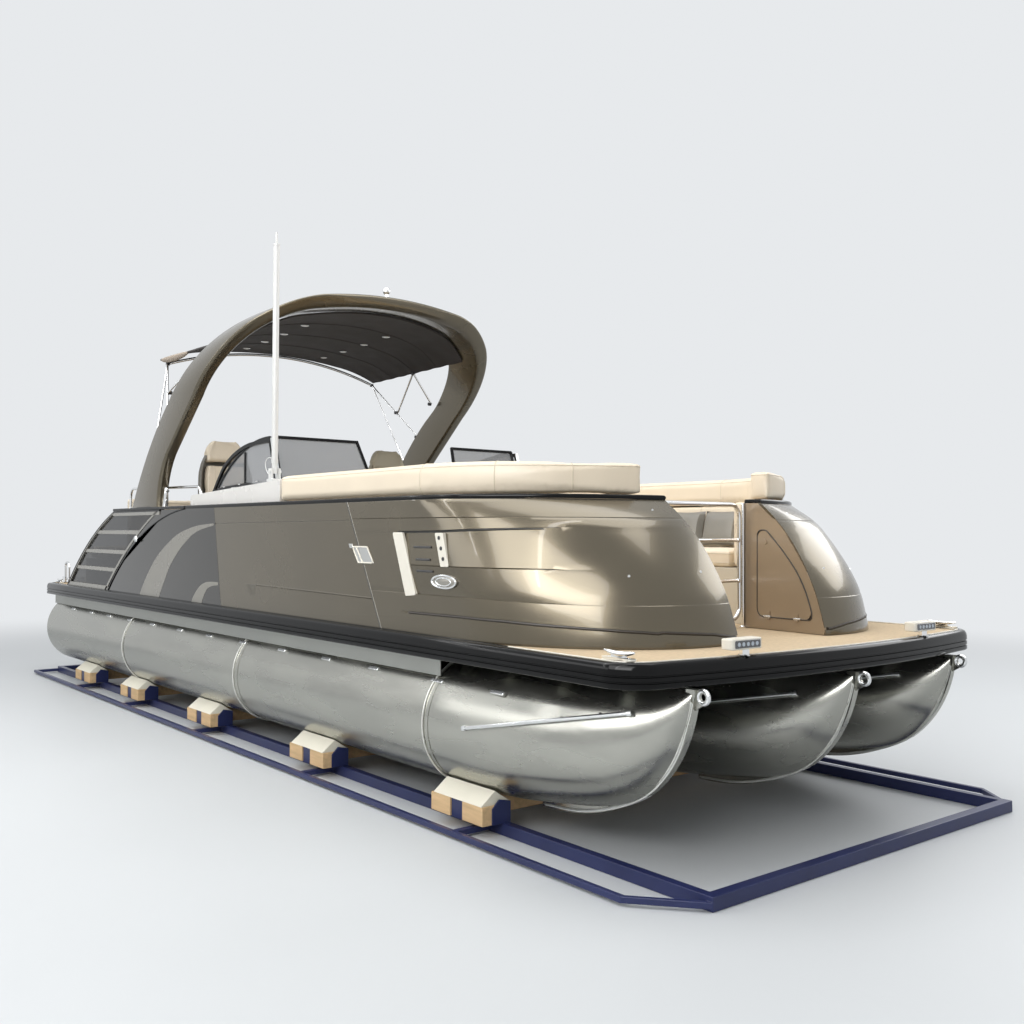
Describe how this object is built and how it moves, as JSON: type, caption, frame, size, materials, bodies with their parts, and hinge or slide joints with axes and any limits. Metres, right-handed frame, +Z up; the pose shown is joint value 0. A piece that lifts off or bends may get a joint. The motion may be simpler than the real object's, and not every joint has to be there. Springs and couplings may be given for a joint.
{
  "type": "pontoon boat on cradle",
  "caption": "Pontoon boat with swept arch, fibreglass bow pods, lounges, helm and boarding ladder, standing on a steel and timber transport cradle.",
  "frame": {"origin": "on the floor under the middle of the cradle's length and width", "axes": "+X to the bow, +Y to port, +Z up"},
  "size_m": [9.6, 3.13, 3.795],
  "materials": {
    "tube": "brushed marine aluminium",
    "apron": "satin black",
    "members": "mill finish",
    "rail": "satin black powder coat",
    "decking": "woven vinyl",
    "panel": "gloss paint",
    "gelcoat": "gloss moulding",
    "hatch": "gloss moulding",
    "bright": "bright anodised",
    "smoked": "smoked sheet",
    "stainless": "polished stainless steel",
    "canvas": "woven canvas",
    "liner": "moulded plastic",
    "vinyl": "soft marine vinyl",
    "wheel": "soft grip",
    "whip": "white glass fibre",
    "lead": "white sheath",
    "cradle_paint": "blue-violet paint",
    "timber": "sawn softwood"
  },
  "bodies": {
    "boat": {"starboard_tube": "tube", "centre_tube": "tube", "port_tube": "tube", "side_aprons": "apron", "cross_members": "members", "deck_rail": "rail", "deck_floor": "decking", "transom_pod": "tube", "port_side_panels": "panel", "starboard_side_panels": "panel", "port_bow_pod": "gelcoat", "starboard_bow_pod": "gelcoat", "fence_trim": "rail", "wing_frames": "bright", "wing_panes": "smoked", "gate_posts": "stainless", "deck_cleats": "stainless", "bow_lamps": "bright", "aft_coamings": "gelcoat", "grab_rails": "stainless", "arch": "gelcoat", "arch_lamp": "stainless", "canopy": "canvas", "canopy_frame": "stainless", "lounge_bases": "liner", "port_lounge_seat": "vinyl", "starboard_lounge_seat": "vinyl", "port_lounge_back": "vinyl", "starboard_lounge_back": "vinyl", "aft_lounge_seat": "vinyl", "aft_lounge_back": "vinyl", "helm_console": "gelcoat", "companion_console": "gelcoat", "windscreen_frames": "bright", "windscreen_glass": "smoked", "chair_pedestals": "stainless", "mast_foot": "stainless", "mast_lead": "lead", "ladder_bracket": "stainless", "cradle_frame": "cradle_paint", "cradle_blocks": "timber"},
    "bow_gate_leaf": {"bow_gate": "stainless"},
    "stern_gate_leaf": {"stern_gate": "stainless"},
    "port_hatch_leaf": {"port_pod_hatch": "hatch"},
    "starboard_hatch_leaf": {"starboard_pod_hatch": "hatch"},
    "wheel": {"steering_wheel": "wheel"},
    "helm_seat": {"helm_chair": "liner", "helm_chair_cushions": "vinyl"},
    "companion_seat": {"companion_chair": "liner", "companion_chair_cushions": "vinyl"},
    "whip_mast": {"mast": "whip"},
    "ladder": {"boarding_ladder": "stainless"}
  },
  "joints": [
    {"name": "bow_gate_hinge", "type": "hinge", "parent": "boat", "child": "bow_gate_leaf", "pos_m": [3.556, 0.428, 1.4], "axis": [0, 0, 1], "range_deg": [-90, 0]},
    {"name": "stern_gate_hinge", "type": "hinge", "parent": "boat", "child": "stern_gate_leaf", "pos_m": [-2.65, 1.367, 1.4], "axis": [0, 0, 1], "range_deg": [-90, 0]},
    {"name": "port_hatch_hinge", "type": "hinge", "parent": "boat", "child": "port_hatch_leaf", "pos_m": [3.86757, 0.40353, 1.09], "axis": [0.9963, -0.0865, 0], "range_deg": [0, 45]},
    {"name": "starboard_hatch_hinge", "type": "hinge", "parent": "boat", "child": "starboard_hatch_leaf", "pos_m": [3.86757, -0.40353, 1.09], "axis": [-0.9963, -0.0865, 0], "range_deg": [0, 45]},
    {"name": "steering", "type": "hinge", "parent": "boat", "child": "wheel", "pos_m": [-0.39, -0.85, 1.755], "axis": [-0.866, 0, 0.5], "range_deg": [-630, 630]},
    {"name": "helm_chair_swivel", "type": "hinge", "parent": "boat", "child": "helm_seat", "pos_m": [-1.1, -0.85, 1.45], "axis": [0, 0, 1], "continuous": true},
    {"name": "companion_chair_swivel", "type": "hinge", "parent": "boat", "child": "companion_seat", "pos_m": [-1.06, 0.85, 1.45], "axis": [0, 0, 1], "continuous": true},
    {"name": "mast_tilt", "type": "hinge", "parent": "boat", "child": "whip_mast", "pos_m": [0.69, -1.335, 2.04], "axis": [0, 1, 0], "range_deg": [0, 90]},
    {"name": "ladder_flip", "type": "hinge", "parent": "boat", "child": "ladder", "pos_m": [-4.69, -1.08, 1.062], "axis": [0, -1, 0], "range_deg": [0, 270]}
  ]
}
